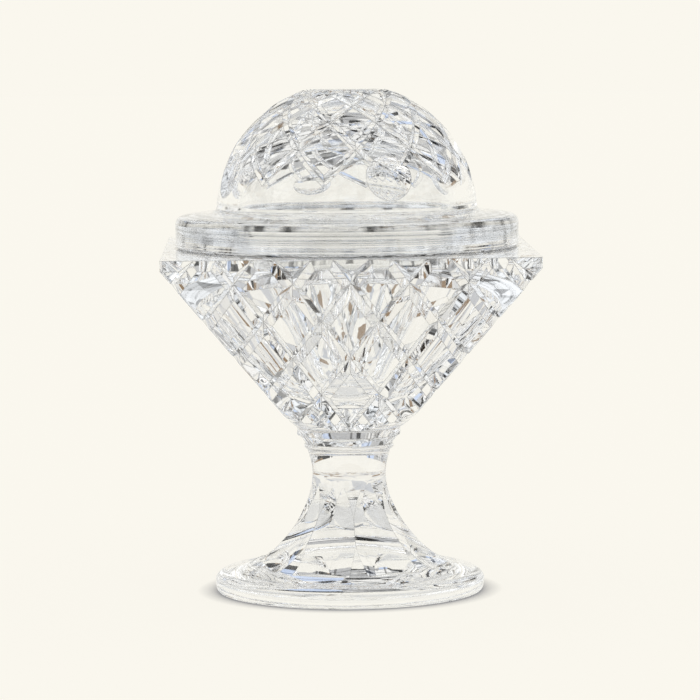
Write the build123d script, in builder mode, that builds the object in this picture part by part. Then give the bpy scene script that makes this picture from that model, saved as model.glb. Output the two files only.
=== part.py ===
"""Cut-crystal powder jar: a square, diamond-cut bowl on a fluted foot, with a domed lid.

Millimetres, +Z up, origin at the centre of the foot's underside, bowl faces square to X and Y.
Nodes: foot, collar and bowl are joined hot into one jar; the lid lifts straight off.
"""

from build123d import *
from math import acos, atan, atan2, cos, degrees, radians, sin, sqrt, tan
import os

os.makedirs("parts", exist_ok=True)

# ---- driving dimensions -------------------------------------------------------------------------

# foot and stem
foot_height = 42.8            # up to the collar
foot_radius = 40.4
foot_edge_height = 6.0        # thickness of the rounded rim
foot_widest_height = 3.4
foot_under_round = 1.2
foot_top_round = 3.0
foot_band_slope = 0.12        # rise of the flat band inside the rim
flare_low_radius = 25.9       # two points on the hollow curve from rim to stem
flare_low_height = 10.1
flare_mid_radius = 17.3
flare_mid_height = 18.8
stem_radius = 11.0
stem_waist_height = 34.9      # middle of the narrowest part of the stem
stem_top_radius = 12.6
stem_top_slope = 0.35
flute_count = 8
flute_turn = 3.7              # the foot was joined a few degrees off the bowl's faces
flute_wheel_radius = 29.5     # the stone that grinds each flute
flute_wheel_width = 35.4
flute_wheel_crown = 40.0      # radius across its rounded rim
flute_axis_drop = 1.0         # its axis lies this far below the waist
flute_reach = 28.7            # where each flute stops on the rim band

# collar between stem and bowl
collar_height = 4.2
collar_radius = 15.1          # at the bowl
collar_waist_radius = 13.0
collar_bead_height = 1.6      # rounded bead below the waist, at the stem
collar_bead = 0.45            # how far the bead swells

# bowl
bowl_height = 56.3
rim_half_width = 54.6
rim_band = 3.2                # straight band above the sloping faces
corner_round = 1.0
neck_radius = 15.5            # the turned bottom of the bowl
neck_ring_height = 2.3        # uncut ring below the sloping faces
shoulder_radius = 28.5        # where the turned neck runs into the square corners
shoulder_rise = 8.6
mouth_radius = 44.0
mouth_depth = 5.5             # straight wall that takes the lid's lip
floor_thickness = 14.6        # glass under the hollow
cavity_floor_radius = 20.0    # where the sloping inner wall turns into the floor
cavity_floor_rise = 7.0

# diamond cutting on the bowl
diamond_pitch = 16.8          # across, between the crossings in a row
diamond_row_rise = 11.6       # up, between rows of crossings
diamond_top_drop = 8.5        # from the rim down to the first row
diamond_cut_depth = 1.5
diamond_wheel_angle = 136.0   # included angle of the V-edged wheel

# lid, with heights from the flange's underside
flange_radius = 51.3
flange_edge_height = 9.7
flange_edge_round = 2.4
flange_under_bevel = 0.8
flange_crown = 1.2            # rise of the flange's top up to the dome
dome_radius = 39.0
dome_centre_rise = 9.9
dome_height = 47.1
dome_foot_round = 1.6
lip_depth = 3.6
lip_clearance = 0.7
lip_wall = 6.0
hollow_radius = 32.5          # where the hollow's straight wall ends and its round top starts
hollow_wall_height = 12.4
hollow_crown = 24.5           # height of the round top above the wall
lid_turn = 18.4               # the lid stands turned on the jar

# cutting on the dome
mitre_count = 12
mitre_tip_latitude = 17.0
mitre_span = 120.0            # between the two tips that one cut joins
mitre_pole_angle = 15.3       # how far beside the top each cut passes
mitre_depth = 1.0
mitre_wheel_angle = 106.0
punty_count = 4
punty_radius = 6.9
punty_latitude = 18.5
punty_wheel_radius = 14.0

# cutting tools
over = 1.2                    # how far each tool stands out of the glass
joint_gap = 0.02              # keeps one cut's end just inside the cut that it meets
mitre_overrun = 5.0           # degrees by which a cut is too long before its ends are mitred
tip_margin = 0.5              # the trimming of an end starts this far above its tip

# ---- derived ------------------------------------------------------------------------------------

collar_top = foot_height + collar_height
rim_height = collar_top + bowl_height
face_top_height = rim_height - rim_band
neck_top_height = collar_top + neck_ring_height
# the sloping faces are as wide as the turned neck where they start
lean_slope = (rim_half_width - neck_radius) / (face_top_height - neck_top_height)
dome_centre_height = rim_height + dome_centre_rise
dome_top_height = rim_height + dome_height


def half_width(z):
    """Half the width of the square bowl at a height on its sloping faces."""
    return rim_half_width - lean_slope * (face_top_height - z)


# ---- foot ---------------------------------------------------------------------------------------


def flute_wheel():
    """The round-edged stone, set against the side at +X and kept off the rim band."""
    axis_x = stem_radius + flute_wheel_radius
    axis_z = stem_waist_height - flute_axis_drop
    half = flute_wheel_width / 2
    crown_drop = flute_wheel_crown - sqrt(flute_wheel_crown**2 - half**2)
    edge_x = axis_x - flute_wheel_radius + crown_drop
    with BuildPart() as wheel:
        with BuildSketch(Plane.XY.offset(axis_z)):
            with BuildLine():
                rim = ThreePointArc(
                    (edge_x, -half), (axis_x - flute_wheel_radius, 0), (edge_x, half)
                )
                Polyline(rim @ 1, (axis_x, half), (axis_x, -half), rim @ 0)
            make_face()
        revolve(axis=Axis((axis_x, 0, axis_z), (0, 1, 0)), revolution_arc=-90)
        with Locations((flute_reach, 0, 0)):
            Box(
                flute_wheel_radius * 2,
                flute_wheel_width * 2,
                axis_z * 3,
                align=(Align.MIN, Align.CENTER, Align.CENTER),
                mode=Mode.SUBTRACT,
            )
    return wheel.part


def make_foot():
    wheel = flute_wheel()
    first_flute = flute_turn - 90 + 180 / flute_count
    with BuildPart() as foot:
        with BuildSketch(Plane.XZ):
            with BuildLine():
                base = Line((0, 0), (foot_radius - foot_under_round, 0))
                under = Spline(
                    base @ 1,
                    (foot_radius, foot_widest_height),
                    tangents=((1, 0), (0, 1)),
                )
                top = Spline(
                    under @ 1,
                    (foot_radius - foot_top_round, foot_edge_height),
                    tangents=((0, 1), (-1, foot_band_slope)),
                )
                flare = Spline(
                    top @ 1,
                    (flare_low_radius, flare_low_height),
                    (flare_mid_radius, flare_mid_height),
                    (stem_radius, stem_waist_height),
                    tangents=((-1, foot_band_slope), (0, 1)),
                )
                stem_end = Spline(
                    flare @ 1,
                    (stem_top_radius, foot_height),
                    tangents=((0, 1), (stem_top_slope, 1)),
                )
                Polyline(stem_end @ 1, (0, foot_height), base @ 0)
            make_face()
        revolve(axis=Axis.Z)
        with PolarLocations(0, flute_count, start_angle=first_flute):
            add(wheel, mode=Mode.SUBTRACT)
    foot.part.label = "foot"
    return foot.part


# ---- collar -------------------------------------------------------------------------------------


def make_collar():
    with BuildPart() as collar:
        with BuildSketch(Plane.XZ):
            with BuildLine():
                outline = Polyline(
                    (collar_waist_radius, foot_height),
                    (0, foot_height),
                    (0, collar_top),
                    (collar_radius, collar_top),
                    (collar_waist_radius, foot_height + collar_bead_height),
                )
                SagittaArc(outline @ 1, outline @ 0, -collar_bead)
            make_face()
        revolve(axis=Axis.Z)
    collar.part.label = "collar"
    return collar.part


# ---- bowl ---------------------------------------------------------------------------------------


def diamond_cuts():
    """Straight V-edged cuts on the face towards -Y, in two families that cross in rows."""
    lean = atan(lean_slope)
    up_face = Vector(0, -sin(lean), cos(lean))
    out_face = Vector(0, -cos(lean), -sin(lean))
    top_row_height = rim_height - diamond_top_drop
    row_centre = Vector(0, -half_width(top_row_height), top_row_height)
    per_half_row = round(half_width(top_row_height) / diamond_pitch)
    wide = (diamond_cut_depth + over) * tan(radians(diamond_wheel_angle / 2))
    cuts = []
    for side in (-1, 1):
        run = Vector(side * diamond_pitch / 2, 0, 0) + up_face * (diamond_row_rise / cos(lean))
        run = run.normalized()
        # local Y points out of the face on both families
        across = out_face.cross(run)
        for k in range(-per_half_row, per_half_row):
            start = row_centre + Vector(side * k * diamond_pitch, 0, 0)
            with BuildPart() as cut:
                with BuildSketch(Plane(origin=start, x_dir=across, z_dir=run)):
                    Polygon(
                        (0, -diamond_cut_depth),
                        (wide, over),
                        (-wide, over),
                        align=None,
                    )
                extrude(amount=rim_half_width * 3, both=True)
            cuts.append(cut.part)
    return cuts


def make_bowl():
    one_face = diamond_cuts()
    bottom_half = half_width(collar_top)
    turned_slope = (shoulder_radius - neck_radius) / (collar_top + shoulder_rise - neck_top_height)
    turned_top = rim_height + over
    turned_top_radius = neck_radius + turned_slope * (turned_top - neck_top_height)
    cavity_floor = collar_top + floor_thickness
    with BuildPart() as bowl:
        with BuildSketch(Plane.XY.offset(face_top_height)):
            Rectangle(2 * rim_half_width, 2 * rim_half_width)
        with BuildSketch(Plane.XY.offset(collar_top)):
            Rectangle(2 * bottom_half, 2 * bottom_half)
        loft()
        with BuildSketch(Plane.XY.offset(face_top_height)):
            Rectangle(2 * rim_half_width, 2 * rim_half_width)
        extrude(amount=rim_band)
        corners = [e for e in bowl.edges() if abs((e @ 1 - e @ 0).Z) > rim_band / 2]
        fillet(corners, corner_round)
        # the lower end is turned round
        with BuildSketch(Plane.XZ):
            Polygon(
                (0, collar_top),
                (neck_radius, collar_top),
                (neck_radius, neck_top_height),
                (turned_top_radius, turned_top),
                (0, turned_top),
                align=None,
            )
        revolve(axis=Axis.Z, mode=Mode.INTERSECT)
        for side in range(4):
            add([Rot(0, 0, 90 * side) * cut for cut in one_face], mode=Mode.SUBTRACT)
        # uncut ring that meets the collar
        with BuildSketch(Plane.XY.offset(collar_top)):
            Circle(neck_radius)
        extrude(amount=neck_ring_height)
        # the round hollow, with a straight mouth for the lid's lip
        with BuildSketch(Plane.XZ):
            with BuildLine():
                mouth = Polyline(
                    (0, rim_height + over),
                    (mouth_radius, rim_height + over),
                    (mouth_radius, rim_height - mouth_depth),
                    (cavity_floor_radius, cavity_floor + cavity_floor_rise),
                )
                floor = Spline(
                    mouth @ 1, (0, cavity_floor), tangents=(mouth % 1, (-1, 0))
                )
                Line(floor @ 1, mouth @ 0)
            make_face()
        revolve(axis=Axis.Z, mode=Mode.SUBTRACT)
    bowl.part.label = "bowl"
    return bowl.part


# ---- lid ----------------------------------------------------------------------------------------


def mitre_axis_elevation():
    """Elevation of a mitre cut's axis, from its two tips and its distance from the top."""
    tip = radians(mitre_tip_latitude)
    pole = radians(mitre_pole_angle)
    return atan2(
        cos(tip) * cos(radians(mitre_span / 2)) + sin(pole),
        cos(pole) - sin(tip),
    )


def mitre_cut():
    """One V-edged ring cut over the dome about a tilted axis, mitred into its partners at both tips.

    It is made about the lid's own centre line with its axis leaning towards +X.
    """
    elevation = mitre_axis_elevation()
    opening = radians(90 + mitre_pole_angle) - elevation
    flank = tan(radians(mitre_wheel_angle / 2))
    tip = radians(mitre_tip_latitude)
    tall = mitre_depth + over
    out = Vector(sin(opening), cos(opening))
    along = Vector(cos(opening), -sin(opening))
    far_flank = out + along * flank
    apex = out * (dome_radius - mitre_depth)
    centre = Vector(0, 0, dome_centre_height)

    def cut_axis(azimuth):
        a = radians(azimuth)
        tilt = Vector(cos(elevation) * cos(a), cos(elevation) * sin(a), sin(elevation))
        return Axis(centre, tilt)

    def section(axis, spin=0.0):
        """The half plane of a cut: local Y runs along its axis, local X out of it, upwards at no spin."""
        upward = Vector(0, 0, 1) - axis.direction * axis.direction.Z
        upward = upward.normalized().rotate(Axis((0, 0, 0), axis.direction), spin)
        return Plane(origin=centre, x_dir=upward, z_dir=upward.cross(axis.direction))

    tip_cos = (sin(tip) - cos(opening) * sin(elevation)) / (sin(opening) * cos(elevation))
    half_arc = degrees(acos(tip_cos)) + mitre_overrun
    axis = cut_axis(0)
    with BuildPart() as ring:
        with BuildSketch(section(axis, -half_arc)):
            with BuildLine():
                near = apex + (out - along * flank) * tall
                Polyline(near, apex, apex + far_flank * tall, close=True)
            make_face()
        revolve(axis=axis, revolution_arc=2 * half_arc)
    cut = ring.part
    # each end is trimmed to the far flank of the partner cut that crosses it at the tip
    edge = apex - along * joint_gap
    reach = dome_radius + tall
    inner = (0.0, edge.Y - far_flank.Y * edge.X / far_flank.X)
    outer = (reach, edge.Y + far_flank.Y * (reach - edge.X) / far_flank.X)
    stub = dome_radius * radians(mitre_overrun) + 2 * flank * tall
    for side in (-1, 1):
        axis = cut_axis(side * mitre_span)
        with BuildPart() as kept_side:
            with BuildSketch(section(axis)):
                Polygon(inner, outer, (reach, 2 * reach), (0, 2 * reach), align=None)
            revolve(axis=axis)
        stub_top = Location(
            (0, 0, dome_centre_height + dome_radius * sin(tip) + tip_margin),
            (0, 0, side * mitre_span / 2),
        )
        with BuildPart() as waste:
            with Locations(stub_top):
                with Locations((dome_radius * cos(tip), 0, 0)):
                    Box(stub, 2 * stub, stub, align=(Align.CENTER, Align.CENTER, Align.MAX))
            add(kept_side.part, mode=Mode.SUBTRACT)
        cut = cut - waste.part
    return cut


def make_lid():
    mitre = mitre_cut()
    flange_top = rim_height + flange_edge_height
    dome_foot_height = flange_top + flange_crown
    lip_radius = mouth_radius - lip_clearance
    hollow_wall_top = rim_height + hollow_wall_height
    dome_foot_radius = sqrt(dome_radius**2 - (dome_foot_height - dome_centre_height) ** 2)
    dome_flat_radius = sqrt(dome_radius**2 - (dome_top_height - dome_centre_height) ** 2)
    with BuildPart() as lid:
        with BuildSketch(Plane.XZ):
            with BuildLine():
                underside = Polyline(
                    (hollow_radius, hollow_wall_top),
                    (lip_radius - lip_wall, rim_height - lip_depth),
                    (lip_radius, rim_height - lip_depth),
                    (lip_radius, rim_height),
                    (flange_radius - flange_under_bevel, rim_height),
                    (flange_radius, rim_height + flange_under_bevel),
                    (flange_radius, flange_top - flange_edge_round),
                )
                edge = RadiusArc(
                    underside @ 1,
                    (flange_radius - flange_edge_round, flange_top),
                    -flange_edge_round,
                )
                ledge = Line(edge @ 1, (dome_foot_radius, dome_foot_height))
                dome = RadiusArc(
                    ledge @ 1, (dome_flat_radius, dome_top_height), -dome_radius
                )
                crown = Spline(
                    underside @ 0,
                    (hollow_radius * cos(radians(45)), hollow_wall_top + hollow_crown * sin(radians(45))),
                    (0, hollow_wall_top + hollow_crown),
                    tangents=((0, 1), (-1, 0)),
                )
                Polyline(dome @ 1, (0, dome_top_height), crown @ 1)
            make_face()
        revolve(axis=Axis.Z)
        dome_foot = (
            lid.edges()
            .filter_by(GeomType.CIRCLE)
            .sort_by(lambda e: abs(e.radius - dome_foot_radius) + abs(e.center().Z - dome_foot_height))
        )[0]
        fillet(dome_foot, dome_foot_round)
        for k in range(mitre_count):
            add(Rot(0, 0, k * 360 / mitre_count) * mitre, mode=Mode.SUBTRACT)
        # round punties, ground with the rim of a small wheel
        lat = radians(punty_latitude)
        sink = dome_radius - sqrt(dome_radius**2 - punty_radius**2)
        sink += punty_wheel_radius - sqrt(punty_wheel_radius**2 - punty_radius**2)
        stand = dome_radius + punty_wheel_radius - sink
        with PolarLocations(stand * cos(lat), punty_count):
            with Locations((0, 0, dome_centre_height + stand * sin(lat))):
                Sphere(punty_wheel_radius, mode=Mode.SUBTRACT)
    turned = Rot(0, 0, lid_turn - 90) * lid.part
    turned.label = "lid"
    return turned


# ---- build --------------------------------------------------------------------------------------

for part in (make_foot(), make_collar(), make_bowl(), make_lid()):
    export_step(part, f"parts/{part.label}.step")
    print(part.label, round(part.volume), part.is_valid, len(part.faces()))
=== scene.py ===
import math
import random

import bmesh
import bpy
from mathutils import Matrix, Vector


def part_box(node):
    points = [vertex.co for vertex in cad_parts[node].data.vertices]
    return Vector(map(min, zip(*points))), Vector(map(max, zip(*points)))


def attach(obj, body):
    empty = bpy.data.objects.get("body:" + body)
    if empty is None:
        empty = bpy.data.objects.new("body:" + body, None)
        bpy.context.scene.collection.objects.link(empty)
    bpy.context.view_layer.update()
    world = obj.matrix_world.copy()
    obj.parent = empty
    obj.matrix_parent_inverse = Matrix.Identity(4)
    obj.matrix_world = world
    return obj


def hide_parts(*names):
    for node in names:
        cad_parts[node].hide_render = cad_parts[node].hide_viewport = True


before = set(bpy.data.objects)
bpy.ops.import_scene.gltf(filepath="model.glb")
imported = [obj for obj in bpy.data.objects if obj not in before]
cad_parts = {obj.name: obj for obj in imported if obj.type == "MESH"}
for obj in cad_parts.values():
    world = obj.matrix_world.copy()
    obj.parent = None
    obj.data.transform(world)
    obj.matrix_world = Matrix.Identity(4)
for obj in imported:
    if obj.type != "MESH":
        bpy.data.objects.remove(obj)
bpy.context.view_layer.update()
mm = 0.001
random.seed(7)

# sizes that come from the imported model, in millimetres
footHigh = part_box("foot")[1] / mm
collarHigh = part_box("collar")[1] / mm
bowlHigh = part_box("bowl")[1] / mm
lidLow, lidHigh = [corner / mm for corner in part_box("lid")]
stemTop = footHigh.z
collarTop = collarHigh.z
rimHeight = bowlHigh.z
overlap = 0.5  # how far the fused pieces of the jar run into each other
print("frame loaded, rim at", round(rimHeight, 2), "mm")


def newObject(name, points, faces):
    mesh = bpy.data.meshes.new(name)
    mesh.from_pydata([Vector(p) * mm for p in points], [], faces)
    mesh.update()
    piece = bpy.data.objects.new(name, mesh)
    bpy.context.scene.collection.objects.link(piece)
    return piece


def arc(centre, radius, fromAngle, toAngle, steps):
    # points on a circle in the (radius, height) plane, angles in degrees from straight out
    found = []
    for i in range(steps + 1):
        a = math.radians(fromAngle + (toAngle - fromAngle) * i / steps)
        found.append((centre[0] + radius * math.cos(a), centre[1] + radius * math.sin(a)))
    return found


def smoothRun(points, startWay, endWay, steps=16):
    # a soft curve through the points, leaving and arriving along the given ways
    count = len(points)
    ways = []
    for i, point in enumerate(points):
        if i == 0:
            way = Vector(startWay).normalized() * (Vector(points[1]) - Vector(point)).length
        elif i == count - 1:
            way = Vector(endWay).normalized() * (Vector(point) - Vector(points[i - 1])).length
        else:
            before, after = Vector(points[i - 1]), Vector(points[i + 1])
            here = Vector(point)
            stepIn, stepOut = (here - before).length, (after - here).length
            way = ((here - before) / stepIn * stepOut + (after - here) / stepOut * stepIn)
            way = way / (stepIn + stepOut)
        ways.append(way)
    found = []
    for i in range(count - 1):
        a, b = Vector(points[i]), Vector(points[i + 1])
        span = (b - a).length
        wayA = ways[i] if i == 0 else ways[i] * span
        wayB = ways[i + 1] if i + 1 == count - 1 else ways[i + 1] * span
        for k in range(steps):
            t = k / steps
            h1, h2 = 2 * t**3 - 3 * t**2 + 1, t**3 - 2 * t**2 + t
            h3, h4 = -2 * t**3 + 3 * t**2, t**3 - t**2
            found.append(tuple(a * h1 + wayA * h2 + b * h3 + wayB * h4))
    found.append(tuple(points[-1]))
    return found


def turned(name, outline, sides=192):
    # a solid of revolution: the outline runs from the axis round to the axis again
    points, rings = [], []
    for radius, height in outline:
        if radius < 1e-6:
            rings.append([len(points)])
            points.append((0, 0, height))
            continue
        start = len(points)
        for k in range(sides):
            a = 2 * math.pi * k / sides
            points.append((radius * math.cos(a), radius * math.sin(a), height))
        rings.append(list(range(start, start + sides)))
    faces = []
    for lower, upper in zip(rings, rings[1:]):
        for k in range(sides):
            n = (k + 1) % sides
            if len(lower) == 1 and len(upper) == 1:
                continue
            if len(lower) == 1:
                faces.append((lower[0], upper[n], upper[k]))
            elif len(upper) == 1:
                faces.append((lower[k], lower[n], upper[0]))
            else:
                faces.append((lower[k], lower[n], upper[n], upper[k]))
    return newObject(name, points, faces)


def prism(name, section, run, length):
    # a straight bar with the given corner points, along run in both directions
    count = len(section)
    step = Vector(run).normalized() * length
    points = [Vector(p) - step for p in section] + [Vector(p) + step for p in section]
    faces = [tuple(range(count))[::-1], tuple(range(count, 2 * count))]
    for k in range(count):
        n = (k + 1) % count
        faces.append((k, n, count + n, count + k))
    return newObject(name, points, faces)


def block(name, low, high):
    corners = [(x, y, z) for z in (low[2], high[2]) for y in (low[1], high[1]) for x in (low[0], high[0])]
    faces = [(0, 2, 3, 1), (4, 5, 7, 6), (0, 1, 5, 4), (2, 6, 7, 3), (0, 4, 6, 2), (1, 3, 7, 5)]
    return newObject(name, corners, faces)


def faceOutward(piece):
    work = bmesh.new()
    work.from_mesh(piece.data)
    bmesh.ops.recalc_face_normals(work, faces=work.faces)
    if work.calc_volume(signed=True) < 0:
        bmesh.ops.reverse_faces(work, faces=work.faces)
    work.to_mesh(piece.data)
    work.free()
    return piece


def copyOf(piece, turn):
    twin = piece.copy()
    twin.data = piece.data.copy()
    twin.data.transform(turn)
    bpy.context.scene.collection.objects.link(twin)
    return twin


def joined(pieces):
    # one object from several that don't touch
    work = bmesh.new()
    for piece in pieces:
        work.from_mesh(piece.data)
    work.to_mesh(pieces[0].data)
    work.free()
    for piece in pieces[1:]:
        bpy.data.objects.remove(piece)
    return pieces[0]


def workOn(body, tools, how):
    # how is DIFFERENCE, UNION or INTERSECT; the tools are used up
    for tool in tools:
        step = body.modifiers.new("step", "BOOLEAN")
        step.operation = how
        step.solver = "MANIFOLD"
        step.object = tool
    bpy.context.view_layer.update()
    graph = bpy.context.evaluated_depsgraph_get()
    result = bpy.data.meshes.new_from_object(body.evaluated_get(graph))
    body.modifiers.clear()
    body.data = result
    for tool in tools:
        bpy.data.objects.remove(tool)
    return body


def turnAbout(axis, degrees, through=(0, 0, 0)):
    place = Matrix.Translation(Vector(through) * mm)
    return place @ Matrix.Rotation(math.radians(degrees), 4, axis) @ place.inverted()


footShape = {
    "edgeHeight": 6.0, "widestHeight": 3.4, "underRound": 1.2, "topRound": 3.0, "bandSlope": 0.12,
    "flareLow": (25.9, 10.1), "flareMid": (17.3, 18.8), "stemRadius": 11.0, "waistHeight": 34.9,
    "stemTopRadius": 12.6, "stemTopSlope": 0.35,
    "fluteCount": 8, "fluteTurn": 3.7, "wheelRadius": 29.5, "wheelWidth": 35.4, "wheelCrown": 40.0,
    "axisDrop": 1.0, "fluteReach": 28.7, "fluteSpread": 0.7, "boxMargin": 0.03,
}


def fluteWheel():
    s = footShape
    axisX = s["stemRadius"] + s["wheelRadius"]
    axisZ = s["waistHeight"] - s["axisDrop"]
    half = s["wheelWidth"] / 2
    lean = math.degrees(math.asin(half / s["wheelCrown"]))
    rim = arc((s["wheelRadius"] - s["wheelCrown"], 0), s["wheelCrown"], -lean, lean, 20)
    wheel = turned("wheel", [(0, -half)] + rim + [(0, half)], sides=160)
    wheel.data.transform(Matrix.Translation(Vector((axisX, 0, axisZ)) * mm)
                         @ Matrix.Rotation(math.pi / 2, 4, "X"))
    far = 90  # past the wheel on every side
    kept = block("keep", (-far, -far, -far), (s["fluteReach"], far, axisZ))
    return workOn(wheel, [kept], "INTERSECT")


def buildFoot():
    s = footShape
    radius = footHigh.x - s["boxMargin"]
    outline = [(0, 0), (radius - s["underRound"], 0)]
    outline += smoothRun([outline[-1], (radius, s["widestHeight"])], (1, 0), (0, 1), 8)[1:]
    outline += smoothRun([outline[-1], (radius - s["topRound"], s["edgeHeight"])],
                         (0, 1), (-1, s["bandSlope"]), 10)[1:]
    outline += smoothRun([outline[-1], s["flareLow"], s["flareMid"], (s["stemRadius"], s["waistHeight"])],
                         (-1, s["bandSlope"]), (0, 1), 18)[1:]
    outline += smoothRun([outline[-1], (s["stemTopRadius"], stemTop)],
                         (0, 1), (s["stemTopSlope"], 1), 8)[1:]
    outline += [(s["stemTopRadius"], stemTop + overlap), (0, stemTop + overlap)]
    foot = turned("foot_glass", outline)
    wheel = fluteWheel()
    stones = []
    for k in range(s["fluteCount"]):
        turn = s["fluteTurn"] - 90 + (k + 0.5) * 360 / s["fluteCount"]
        turn += random.uniform(-s["fluteSpread"], s["fluteSpread"])
        stones.append(copyOf(wheel, turnAbout("Z", turn)))
    bpy.data.objects.remove(wheel)
    return workOn(foot, stones, "DIFFERENCE")


collarShape = {
    "radius": 15.1, "waistRadius": 13.0, "beadHeight": 1.6, "bead": 0.45, "stemRadius": 12.9,
    "beadStart": (1, 0.6), "beadEnd": (-1, 0.8),
}


def buildCollar():
    s = collarShape
    low, high = stemTop, collarTop
    outline = [(0, low)]
    bead = [(s["stemRadius"], low), (s["waistRadius"] + s["bead"], low + s["beadHeight"] / 2),
            (s["waistRadius"], low + s["beadHeight"])]
    outline += smoothRun(bead, s["beadStart"], s["beadEnd"], 8)
    outline += [(s["radius"], high), (s["radius"], high + overlap), (0, high + overlap)]
    return turned("collar_glass", outline)


bowlShape = {
    "band": 3.2, "cornerRound": 1.0, "neckRadius": 15.5, "neckRing": 2.3,
    "shoulderRadius": 28.5, "shoulderRise": 8.6,
    "mouthRadius": 44.0, "mouthDepth": 5.5, "floorThickness": 14.6, "floorRadius": 20.0, "floorRise": 7.0,
    "pitch": 16.8, "rowRise": 11.6, "topDrop": 8.5, "cutDepth": 1.9, "wheelAngle": 98.0, "over": 1.2,
    "depthSpread": 0.08, "toolFoot": 1.0, "toolTop": 5.0, "mouthOver": 2.0,
}


def roundedSquare(half, radius, height, steps=5):
    points = []
    for k in range(4):
        middle = k * 90 + 45
        out = Vector((math.cos(math.radians(middle)), math.sin(math.radians(middle)))) * math.sqrt(2)
        centre = out * (half - radius)
        for i in range(steps + 1):
            a = math.radians(middle - 45 + 90 * i / steps)
            points.append((centre.x + radius * math.cos(a), centre.y + radius * math.sin(a), height))
    return points


def buildBowl():
    s = bowlShape
    rim = rimHeight
    half = bowlHigh.x
    faceTop = rim - s["band"]
    neckTop = collarTop + s["neckRing"]
    slope = (half - s["neckRadius"]) / (faceTop - neckTop)
    levels = [(half - slope * (faceTop - collarTop), collarTop), (half, faceTop), (half, rim)]
    points, faces = [], []
    for width, height in levels:
        points += roundedSquare(width, s["cornerRound"], height)
    side = len(points) // 3
    for level in range(2):
        for k in range(side):
            n = (k + 1) % side
            a, b = level * side, (level + 1) * side
            faces.append((a + k, a + n, b + n, b + k))
    faces += [tuple(range(side))[::-1], tuple(range(2 * side, 3 * side))]
    bowl = faceOutward(newObject("bowl_glass", points, faces))
    steep = (s["shoulderRadius"] - s["neckRadius"]) / (collarTop + s["shoulderRise"] - neckTop)
    topRadius = s["neckRadius"] + steep * (rim + s["toolTop"] - neckTop)
    low, high = collarTop - s["toolFoot"], rim + s["toolTop"]
    neck = [(0, low), (s["neckRadius"], low), (s["neckRadius"], neckTop), (topRadius, high), (0, high)]
    workOn(bowl, [turned("turning", neck)], "INTERSECT")
    # the diamond cutting: two families of straight V cuts on each face
    lean = math.atan(slope)
    upFace = Vector((0, -math.sin(lean), math.cos(lean)))
    outFace = Vector((0, -math.cos(lean), -math.sin(lean)))
    rowHeight = rim - s["topDrop"]
    rowHalf = half - slope * (faceTop - rowHeight)
    perHalfRow = round(rowHalf / s["pitch"])
    wide = (s["cutDepth"] + s["over"]) * math.tan(math.radians(s["wheelAngle"] / 2))
    cuts = []
    for quarter in range(4):
        for way in (-1, 1):
            run = Vector((way * s["pitch"] / 2, 0, 0)) + upFace * (s["rowRise"] / math.cos(lean))
            run.normalize()
            across = outFace.cross(run)
            family = []
            for k in range(-perHalfRow, perHalfRow):
                start = Vector((way * k * s["pitch"], -rowHalf, rowHeight))
                deep = s["cutDepth"] + random.uniform(-s["depthSpread"], s["depthSpread"])
                bar = [start - outFace * deep, start + outFace * s["over"] + across * wide,
                       start + outFace * s["over"] - across * wide]
                family.append(faceOutward(prism("cut", bar, run, half * 3)))
            cut = joined(family)
            cut.data.transform(turnAbout("Z", 90 * quarter))
            cuts.append(cut)
    workOn(bowl, cuts, "DIFFERENCE")
    ring = [(0, collarTop), (s["neckRadius"], collarTop), (s["neckRadius"], neckTop), (0, neckTop)]
    workOn(bowl, [turned("ring", ring)], "UNION")
    floor = collarTop + s["floorThickness"]
    wallFoot = (s["floorRadius"], floor + s["floorRise"])
    wallTop = (s["mouthRadius"], rim - s["mouthDepth"])
    wallWay = Vector(wallFoot) - Vector(wallTop)
    inside = smoothRun([(0, floor), wallFoot], (1, 0), -wallWay, 20)
    mouth = rim + s["mouthOver"]
    inside += [wallTop, (s["mouthRadius"], mouth), (0, mouth)]
    workOn(bowl, [turned("hollow", inside)], "DIFFERENCE")
    return bowl


lidShape = {
    "edgeHeight": 9.7, "edgeRound": 2.4, "underBevel": 0.8, "crown": 1.2,
    "domeRadius": 39.0, "domeCentre": 9.9, "footRound": 1.6, "footLift": 1.02,
    "lipRadius": 43.3, "lipWall": 6.0, "hollowRadius": 32.5, "hollowWall": 12.4, "hollowCrown": 24.5,
    "turn": 18.4,
    "mitreCount": 12, "tipLatitude": 17.0, "span": 120.0, "poleAngle": 15.3, "mitreDepth": 1.0,
    "mitreAngle": 106.0, "over": 1.2, "overrun": 5.0, "gap": 0.02, "mitreSpread": 0.25, "tipMargin": 0.5,
    "mitreSteps": 72,
    "puntyCount": 4, "puntyRadius": 6.9, "puntyLatitude": 18.5, "puntyWheel": 10.0,
}


def ringSection(axis, spin, outline, centre):
    # places (out, along) points in the half plane of a ring cut at a spin about its axis
    upward = (Vector((0, 0, 1)) - axis * axis.z).normalized()
    out = Matrix.Rotation(math.radians(spin), 3, axis) @ upward
    return [centre + out * p[0] + axis * p[1] for p in outline]


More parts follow.
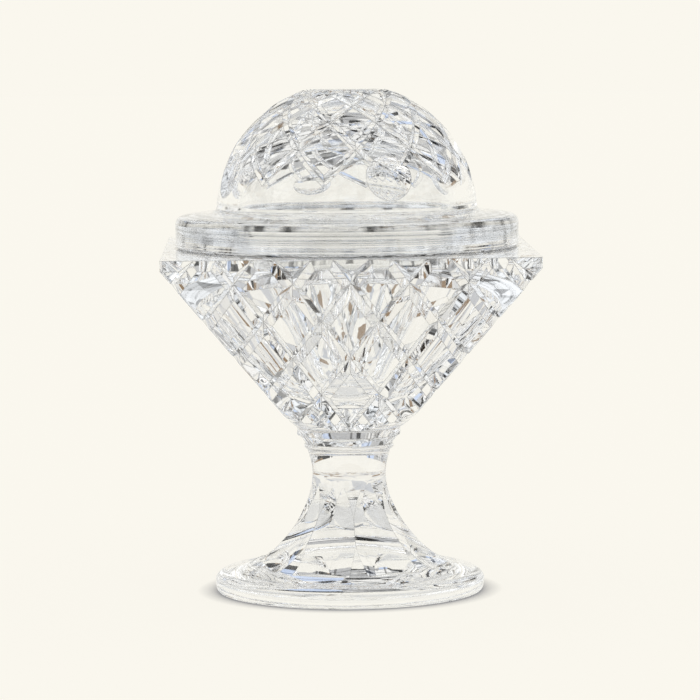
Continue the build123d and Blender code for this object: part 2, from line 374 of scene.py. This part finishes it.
def mitreCut():
    s = lidShape
    centre = Vector((0, 0, rimHeight + s["domeCentre"]))
    tip, pole = math.radians(s["tipLatitude"]), math.radians(s["poleAngle"])
    elevation = math.atan2(math.cos(tip) * math.cos(math.radians(s["span"] / 2)) + math.sin(pole),
                           math.cos(pole) - math.sin(tip))
    opening = math.pi / 2 + pole - elevation
    flank = math.tan(math.radians(s["mitreAngle"] / 2))
    tall = s["mitreDepth"] + s["over"]
    out = Vector((math.sin(opening), math.cos(opening)))
    along = Vector((math.cos(opening), -math.sin(opening)))
    farFlank = out + along * flank
    apex = out * (s["domeRadius"] - s["mitreDepth"])

    def cutAxis(azimuth):
        a = math.radians(azimuth)
        level = math.cos(elevation)
        return Vector((level * math.cos(a), level * math.sin(a), math.sin(elevation)))

    tipCos = math.sin(tip) - math.cos(opening) * math.sin(elevation)
    tipCos /= math.sin(opening) * math.cos(elevation)
    halfArc = math.degrees(math.acos(tipCos)) + s["overrun"]
    outline = [apex + (out - along * flank) * tall, apex, apex + farFlank * tall]
    points, faces, steps = [], [], s["mitreSteps"]
    for i in range(steps + 1):
        points += ringSection(cutAxis(0), -halfArc + 2 * halfArc * i / steps, outline, centre)
    for i in range(steps):
        for k in range(3):
            n = (k + 1) % 3
            faces.append((3 * i + k, 3 * i + n, 3 * i + 3 + n, 3 * i + 3 + k))
    faces += [(2, 1, 0), (3 * steps, 3 * steps + 1, 3 * steps + 2)]
    cut = faceOutward(newObject("mitre", points, faces))
    # each end is trimmed to the far flank of the partner cut that crosses it at the tip
    edge = apex - along * s["gap"]
    reach = s["domeRadius"] + tall
    inner = (0.0, edge.y - farFlank.y * edge.x / farFlank.x)
    outer = (reach, edge.y + farFlank.y * (reach - edge.x) / farFlank.x)
    stub = s["domeRadius"] * math.radians(s["overrun"]) + 2 * flank * tall
    stubTop = s["domeRadius"] * math.sin(tip) + s["tipMargin"]
    stubOut = s["domeRadius"] * math.cos(tip)
    for side in (-1, 1):
        axis = cutAxis(side * s["span"])
        kept = turned("kept", [inner, outer, (reach, 2 * reach), (0, 2 * reach)], sides=256)
        toAxis = Vector((0, 0, 1)).rotation_difference(axis).to_matrix().to_4x4()
        kept.data.transform(Matrix.Translation(centre * mm) @ toAxis)
        waste = block("waste", (stubOut - stub / 2, -stub, stubTop - stub),
                      (stubOut + stub / 2, stub, stubTop))
        waste.data.transform(Matrix.Translation(centre * mm) @ turnAbout("Z", side * s["span"] / 2))
        workOn(waste, [faceOutward(kept)], "DIFFERENCE")
        workOn(cut, [waste], "DIFFERENCE")
    return cut


def buildLid():
    s = lidShape
    rim = rimHeight
    flange = lidHigh.x
    flangeTop = rim + s["edgeHeight"]
    centre = rim + s["domeCentre"]
    footHeight = flangeTop + s["crown"]
    lip = s["lipRadius"]
    inset = lip - s["lipWall"]
    flatRadius = math.sqrt(s["domeRadius"] ** 2 - (lidHigh.z - centre) ** 2)
    # the small round at the dome's foot touches the ledge and the dome
    r = s["footRound"]
    outerFoot = math.sqrt(s["domeRadius"] ** 2 - (footHeight - centre) ** 2)
    ledgeStart = (flange - s["edgeRound"], flangeTop)
    rise = math.atan2(s["crown"], ledgeStart[0] - outerFoot)
    roundHeight = footHeight + r * s["footLift"]
    roundRadius = math.sqrt((s["domeRadius"] + r) ** 2 - (roundHeight - centre) ** 2)
    domeTouch = math.degrees(math.atan2(roundHeight - centre, roundRadius))
    foot = arc((roundRadius, roundHeight), r, -90 - math.degrees(rise), -180 + domeTouch, 8)
    flatAngle = math.degrees(math.acos(flatRadius / s["domeRadius"]))
    squash = s["hollowCrown"] / s["hollowRadius"]
    crown = arc((0, 0), s["hollowRadius"], 90, 0, 48)
    outline = [(x if i else 0, rim + s["hollowWall"] + y * squash) for i, (x, y) in enumerate(crown)]
    outline += [(inset, lidLow.z), (lip, lidLow.z), (lip, rim)]
    outline += [(flange - s["underBevel"], rim), (flange, rim + s["underBevel"])]
    outline += arc((flange - s["edgeRound"], flangeTop - s["edgeRound"]), s["edgeRound"], 0, 90, 12)
    outline += foot
    outline += arc((0, centre), s["domeRadius"], domeTouch, flatAngle, 48)[1:]
    outline += [(0, lidHigh.z)]
    lid = faceOutward(turned("lid_crystal", outline))
    mitre = mitreCut()
    cuts = []
    for k in range(s["mitreCount"]):
        turn = k * 360 / s["mitreCount"] + random.uniform(-s["mitreSpread"], s["mitreSpread"])
        cuts.append(copyOf(mitre, turnAbout("Z", turn)))
    bpy.data.objects.remove(mitre)
    lat = math.radians(s["puntyLatitude"])
    wheel = s["puntyWheel"]
    sink = s["domeRadius"] - math.sqrt(s["domeRadius"] ** 2 - s["puntyRadius"] ** 2)
    sink += wheel - math.sqrt(wheel**2 - s["puntyRadius"] ** 2)
    stand = s["domeRadius"] + wheel - sink
    for k in range(s["puntyCount"]):
        a = 2 * math.pi * k / s["puntyCount"]
        ball = turned("punty", arc((0, 0), wheel, -90, 90, 64), sides=128)
        out = stand * math.cos(lat)
        place = Vector((out * math.cos(a), out * math.sin(a), centre + stand * math.sin(lat)))
        ball.data.transform(Matrix.Translation(place * mm))
        cuts.append(faceOutward(ball))
    workOn(lid, cuts, "DIFFERENCE")
    lid.data.transform(turnAbout("Z", s["turn"] - 90))
    return lid


def addNode(tree, kind, values=None, **settings):
    made = tree.nodes.new(kind)
    for name, value in settings.items():
        setattr(made, name, value)
    for socket, value in (values or {}).items():
        if isinstance(value, bpy.types.NodeSocket):
            tree.links.new(value, made.inputs[socket])
        else:
            made.inputs[socket].default_value = value
    return made


def sums(tree, operation, first, second=0.0):
    return addNode(tree, "ShaderNodeMath", {0: first, 1: second}, operation=operation).outputs[0]


def times(tree, first, second):
    return sums(tree, "MULTIPLY", first, second)


def above(tree, value, limit):
    return sums(tree, "GREATER_THAN", value, limit)


def below(tree, value, limit):
    return sums(tree, "LESS_THAN", value, limit)


def within(tree, value, limits):
    return times(tree, above(tree, value, limits[0]), below(tree, value, limits[1]))


def blend(tree, amount, first, second):
    mixed = addNode(tree, "ShaderNodeMix", {0: amount, 6: first, 7: second}, data_type="RGBA")
    return mixed.outputs[2]


def ramp(tree, value, fromRange, toRange=(0.0, 1.0)):
    values = {"Value": value, 1: fromRange[0], 2: fromRange[1], 3: toRange[0], 4: toRange[1]}
    return addNode(tree, "ShaderNodeMapRange", values).outputs[0]


def noise(tree, place, scale, detail=2.0):
    values = {"Vector": place, "Scale": scale, "Detail": detail}
    return addNode(tree, "ShaderNodeTexNoise", values).outputs["Fac"]


def cells(tree, place, scale):
    # each cell has one colour, drawn at random
    return addNode(tree, "ShaderNodeTexVoronoi", {"Vector": place, "Scale": scale}).outputs["Color"]


def parted(tree, colour):
    return addNode(tree, "ShaderNodeSeparateColor", {0: colour}).outputs


def bumped(tree, normal, height, depth, strength=1.0):
    values = {"Height": height, "Strength": strength, "Distance": depth, "Normal": normal}
    return addNode(tree, "ShaderNodeBump", values).outputs["Normal"]


flangeLook = {
    "from": 0.0440, "margin": 0.3, "ringScale": 620.0, "ringDepth": 0.00016,
    # painted shade: grey streaks in the flange's colour, standing in for dark refractions in its thickness
    "streakShadeFrom": (0.46, 0.64), "streakShade": (0.22, 0.23, 0.23, 1),
    # painted shade: a broken near-black line round the top of the flange's wall
    "lineBand": (0.76, 0.93), "lineScale": 150.0, "lineFrom": (0.45, 0.62), "lineShare": (0.25, 1.0),
    "line": (0.02, 0.02, 0.02, 1),
    # painted shade: a dark line at the flange's lower edge, where it meets the rim
    "jointWide": 1.0, "jointHigh": 0.5, "jointShade": (0.20, 0.20, 0.20, 1),
}


def flangeRingsAndShade(tree, place, tint):
    # the lid's flange has rings left by turning, as bumps, and painted shade: grey streaks in its colour
    # that stand in for the dark refractions seen through its thickness
    look = flangeLook
    x, y, z = addNode(tree, "ShaderNodeSeparateXYZ", {0: place}).outputs
    outward = sums(tree, "SQRT", sums(tree, "ADD", times(tree, x, x), times(tree, y, y)))
    section = addNode(tree, "ShaderNodeCombineXYZ", {0: outward, 2: z}).outputs[0]
    rings = noise(tree, section, look["ringScale"])
    flange = times(tree, within(tree, outward, (look["from"], (lidHigh.x + look["margin"]) * mm)),
                   above(tree, z, (rimHeight - look["margin"]) * mm))
    streakShade = ramp(tree, rings, look["streakShadeFrom"])
    tint = blend(tree, times(tree, streakShade, flange), tint, look["streakShade"])
    # painted shade: a broken near-black line in its colour runs round near the top of its wall, standing in
    # for dark reflections there
    band = [(rimHeight + lidShape["edgeHeight"] * share) * mm for share in look["lineBand"]]
    around = addNode(tree, "ShaderNodeCombineXYZ", {0: x, 1: y}).outputs[0]
    broken = ramp(tree, noise(tree, around, look["lineScale"]), look["lineFrom"], look["lineShare"])
    line = times(tree, within(tree, z, band), broken)
    tint = blend(tree, times(tree, line, flange), tint, look["line"])
    # painted shade: its lower edge is coloured as a dark line where it meets the rim
    low = times(tree, above(tree, outward, (lidHigh.x - look["jointWide"]) * mm),
                below(tree, z, (rimHeight + look["jointHigh"]) * mm))
    tint = blend(tree, times(tree, low, flange), tint, look["jointShade"])
    return tint, rings, flange


crystalLook = {
    "ior": 1.55, "tintScale": 38.0, "paleTint": (1.0, 1.0, 1.0, 1), "deepTint": (0.972, 0.984, 0.990, 1),
    "polishScale": 130.0, "polishDepth": 0.00002, "hazeFrom": (0.5, 0.8), "haze": (0.0, 0.02),
    # painted shade: grey lines along the rounded facet edges
    "edgeRound": 0.00035, "edgeFrom": (0.997, 0.95), "edgeShadeGrey": (0.22, 0.22, 0.22, 1),
    # painted light: a faint glow of the crystal after many bounces
    "lostBounce": 8.0, "fleckScale": (90.0, 90.0, 800.0), "fleckFrom": (0.15, 0.75),
    "lostGlow": (0.10, 1.10), "lostColour": (0.93, 0.95, 0.97, 1),
}


def crystalMaterial():
    look = crystalLook
    material = bpy.data.materials.new("crystal")
    material.use_nodes = True
    tree = material.node_tree
    shader = tree.nodes["Principled BSDF"]
    shader.inputs["Transmission Weight"].default_value = 1
    shader.inputs["IOR"].default_value = look["ior"]
    place = addNode(tree, "ShaderNodeTexCoord").outputs["Object"]
    # the glass is a little uneven in colour
    cloud = noise(tree, place, look["tintScale"], detail=3.0)
    tint = blend(tree, cloud, look["paleTint"], look["deepTint"])
    tint, rings, flange = flangeRingsAndShade(tree, place, tint)
    # painted shade: the rounded edges between facets get grey lines in the glass colour, standing in for
    # the dark refractions at those edges
    roundedNormal = addNode(tree, "ShaderNodeBevel", {"Radius": look["edgeRound"]}, samples=4).outputs[0]
    facing = addNode(tree, "ShaderNodeNewGeometry").outputs["Normal"]
    alike = addNode(tree, "ShaderNodeVectorMath", {0: roundedNormal, 1: facing}, operation="DOT_PRODUCT")
    edge = ramp(tree, alike.outputs["Value"], look["edgeFrom"])
    tree.links.new(blend(tree, edge, tint, look["edgeShadeGrey"]), shader.inputs["Base Color"])
    # hand polishing leaves soft waves and a faint haze in places
    waves = noise(tree, place, look["polishScale"])
    surface = bumped(tree, roundedNormal, waves, look["polishDepth"])
    surface = bumped(tree, surface, rings, flangeLook["ringDepth"], flange)
    tree.links.new(surface, shader.inputs["Normal"])
    tree.links.new(ramp(tree, waves, look["hazeFrom"], look["haze"]), shader.inputs["Roughness"])
    # painted light: once a ray has bounced eight times the crystal glows in grey flecks, standing in for
    # light that goes round and round inside the thick corners, so that it is not lost
    depth = addNode(tree, "ShaderNodeLightPath").outputs["Ray Depth"]
    lost = addNode(tree, "ShaderNodeMath", {0: depth, 1: look["lostBounce"], 2: 0.5}, operation="COMPARE")
    layers = addNode(tree, "ShaderNodeMapping", {"Vector": place, "Scale": look["fleckScale"]}).outputs[0]
    level = ramp(tree, cells(tree, layers, 1.0), look["fleckFrom"], look["lostGlow"])
    tree.links.new(times(tree, lost.outputs[0], level), shader.inputs["Emission Strength"])
    shader.inputs["Emission Color"].default_value = look["lostColour"]
    return material


def finishGlass(piece, material, sharp=12):
    piece.data.materials.clear()
    piece.data.materials.append(material)
    for face in piece.data.polygons:
        face.use_smooth = True
        face.material_index = 0
    piece.data.set_sharp_from_angle(angle=math.radians(sharp))


crystal = crystalMaterial()
jar = buildBowl()
print("bowl made", len(jar.data.polygons))
workOn(jar, [faceOutward(buildCollar()), faceOutward(buildFoot())], "UNION")
jar.name = "jar_crystal"
print("jar made", len(jar.data.polygons))
lid = buildLid()
print("lid made", len(lid.data.polygons))
for piece in (jar, lid):
    finishGlass(piece, crystal)
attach(jar, "jar")
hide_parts("foot", "collar", "bowl")
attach(lid, "lid")
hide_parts("lid")


paper = (0.956, 0.930, 0.855, 1)


def seenDirectly(tree):
    return addNode(tree, "ShaderNodeLightPath").outputs["Is Camera Ray"]


def notScattered(tree):
    # rays from the camera and those that come through or off the crystal
    path = addNode(tree, "ShaderNodeLightPath").outputs
    crystalRay = sums(tree, "MAXIMUM", path["Is Transmission Ray"], path["Is Glossy Ray"])
    return sums(tree, "MAXIMUM", path["Is Camera Ray"], crystalRay)


floorLook = {
    "size": 6.0, "top": -0.1, "thick": 1.0, "seen": 0.94,
    "patchScale": 22.0, "glare": (0.52, 0.54, 0.58, 1), "glarePower": 2.5, "glareEnd": 0.7,
    "table": (0.30, 0.205, 0.125, 1), "tableNear": (-0.32, -0.07), "tableFar": (0.05, 0.9), "farFrom": 0.86,
    # painted shadow: grey on the paper where the foot stands close over it
    "contactReach": 0.006, "contactDepth": 1.5, "contactShadow": (0.30, 0.30, 0.31, 1),
}


def makeFloor():
    look = floorLook
    size, top = look["size"] / mm, look["top"]
    floor = block("floor", (-size, -size, top - look["thick"]), (size, size, top))
    material = bpy.data.materials.new("paper")
    material.use_nodes = True
    tree = material.node_tree
    tree.nodes.remove(tree.nodes["Principled BSDF"])
    place = addNode(tree, "ShaderNodeNewGeometry").outputs["Position"]
    y = addNode(tree, "ShaderNodeSeparateXYZ", {0: place}).outputs["Y"]
    # the crystal also shows dull and brown patches of the table about the paper
    pick = parted(tree, cells(tree, place, look["patchScale"]))
    onTable = times(tree, within(tree, y, look["tableFar"]), above(tree, pick[1], look["farFrom"]))
    onTable = sums(tree, "MAXIMUM", within(tree, y, look["tableNear"]), onTable)
    throughGlass = sums(tree, "SUBTRACT", 1.0, seenDirectly(tree))
    dull = times(tree, sums(tree, "POWER", pick[0], look["glarePower"]), below(tree, y, look["glareEnd"]))
    colour = blend(tree, times(tree, dull, throughGlass), paper, look["glare"])
    colour = blend(tree, times(tree, onTable, throughGlass), colour, look["table"])
    # painted shadow: for camera rays the paper is coloured grey where the foot stands close over it
    near = addNode(tree, "ShaderNodeAmbientOcclusion", {"Distance": look["contactReach"]}, samples=8)
    shade = times(tree, sums(tree, "SUBTRACT", 1.0, near.outputs["AO"]), look["contactDepth"])
    shown = blend(tree, times(tree, shade, seenDirectly(tree)), colour, look["contactShadow"])
    lit = addNode(tree, "ShaderNodeBsdfDiffuse", {"Color": colour})
    glow = addNode(tree, "ShaderNodeEmission", {"Color": shown, "Strength": 1.0})
    amount = times(tree, notScattered(tree), look["seen"])
    mixed = addNode(tree, "ShaderNodeMixShader", {0: amount, 1: lit.outputs[0], 2: glow.outputs[0]})
    tree.links.new(mixed.outputs[0], tree.nodes["Material Output"].inputs["Surface"])
    floor.data.materials.append(material)


room = {
    "white": (0.97, 0.96, 0.93, 1), "grey": (0.50, 0.50, 0.50, 1), "dark": (0.015, 0.015, 0.015, 1),
    "blue": (0.62, 0.72, 0.92, 1), "brown": (0.36, 0.26, 0.17, 1), "soft": (1.05, 1.05, 1.05, 1),
    "clutterScale": 4.2, "greyFrom": 0.64, "darkFrom": 0.74, "blueFrom": 0.88,
    "brownUpTo": 0.14, "brownTop": 0.3,
    "fittingScale": 9.0, "fittingFrom": 0.84, "fittingFoot": 0.38,
    "panelCount": 17.0, "gapFrom": 0.90, "gapDepth": 0.7,
    "shelfCount": 9.0, "shelfFrom": 0.86, "shelfDepth": 0.6,
    "behindFrom": 0.91, "behindTop": 0.34, "besideFrom": 0.22, "besideTop": 0.26,
}


def makeWorld():
    world = bpy.data.worlds.new("room")
    bpy.context.scene.world = world
    world.use_nodes = True
    tree = world.node_tree
    way = addNode(tree, "ShaderNodeTexCoord").outputs["Generated"]
    x, y, z = addNode(tree, "ShaderNodeSeparateXYZ", {0: way}).outputs
    # lamps, stands and dark corners of the room, which only the crystal shows
    pick = parted(tree, cells(tree, way, room["clutterScale"]))
    colour = blend(tree, above(tree, pick[0], room["greyFrom"]), room["white"], room["grey"])
    colour = blend(tree, above(tree, pick[1], room["darkFrom"]), colour, room["dark"])
    colour = blend(tree, above(tree, pick[2], room["blueFrom"]), colour, room["blue"])
    low = times(tree, below(tree, pick[2], room["brownUpTo"]), below(tree, z, room["brownTop"]))
    colour = blend(tree, low, colour, room["brown"])
    # small dark fittings overhead
    chosen = parted(tree, cells(tree, way, room["fittingScale"]))[0]
    overhead = times(tree, above(tree, chosen, room["fittingFrom"]), above(tree, z, room["fittingFoot"]))
    colour = blend(tree, overhead, colour, room["dark"])
    # narrow dark gaps between the upright panels, and dark shelves
    angle = sums(tree, "ARCTAN2", x, y)
    across = sums(tree, "FRACT", times(tree, angle, room["panelCount"] / (2 * math.pi)))
    gap = times(tree, above(tree, across, room["gapFrom"]), room["gapDepth"])
    colour = blend(tree, gap, colour, room["dark"])
    upward = sums(tree, "FRACT", times(tree, z, room["shelfCount"]))
    shelf = times(tree, above(tree, upward, room["shelfFrom"]), room["shelfDepth"])
    colour = blend(tree, shelf, colour, room["dark"])
    # the plain paper stands behind the jar, lower at its sides
    behind = times(tree, above(tree, y, room["behindFrom"]), below(tree, z, room["behindTop"]))
    beside = times(tree, above(tree, y, room["besideFrom"]), below(tree, z, room["besideTop"]))
    colour = blend(tree, sums(tree, "MAXIMUM", behind, beside), colour, paper)
    path = addNode(tree, "ShaderNodeLightPath").outputs
    colour = blend(tree, path["Is Camera Ray"], colour, paper)
    colour = blend(tree, path["Is Diffuse Ray"], colour, room["soft"])
    tree.links.new(colour, tree.nodes["Background"].inputs["Color"])
    tree.nodes["Background"].inputs["Strength"].default_value = 1.0


view = {"distance": 1.1, "height": 0.176, "round": 1.3, "aimHeight": 0.0722, "aimSide": 0.0006,
        "halfWidth": 0.105, "roll": 0.5}


def makeCamera():
    a = math.radians(view["round"])
    place = Vector((-math.sin(a), -math.cos(a), 0)) * view["distance"] + Vector((0, 0, view["height"]))
    side = Vector((math.cos(a), -math.sin(a), 0))
    aim = side * view["aimSide"] + Vector((0, 0, view["aimHeight"]))
    camera = bpy.data.objects.new("camera", bpy.data.cameras.new("camera"))
    bpy.context.scene.collection.objects.link(camera)
    camera.location = place + side * view["aimSide"]
    look = (aim - camera.location).to_track_quat("-Z", "Y").to_matrix()
    camera.rotation_euler = (look @ Matrix.Rotation(math.radians(-view["roll"]), 3, "Z")).to_euler()
    camera.data.angle = 2 * math.atan(view["halfWidth"] / (aim - camera.location).length)
    bpy.context.scene.camera = camera


makeFloor()
makeWorld()
makeCamera()
print("floor, room and camera made")
bpy.context.scene.view_settings.view_transform = "Standard"
# light crosses many facets on its way through the jar
bounces = 10
cycles = bpy.context.scene.cycles
cycles.max_bounces = bounces
cycles.glossy_bounces = bounces
cycles.transmission_bounces = bounces
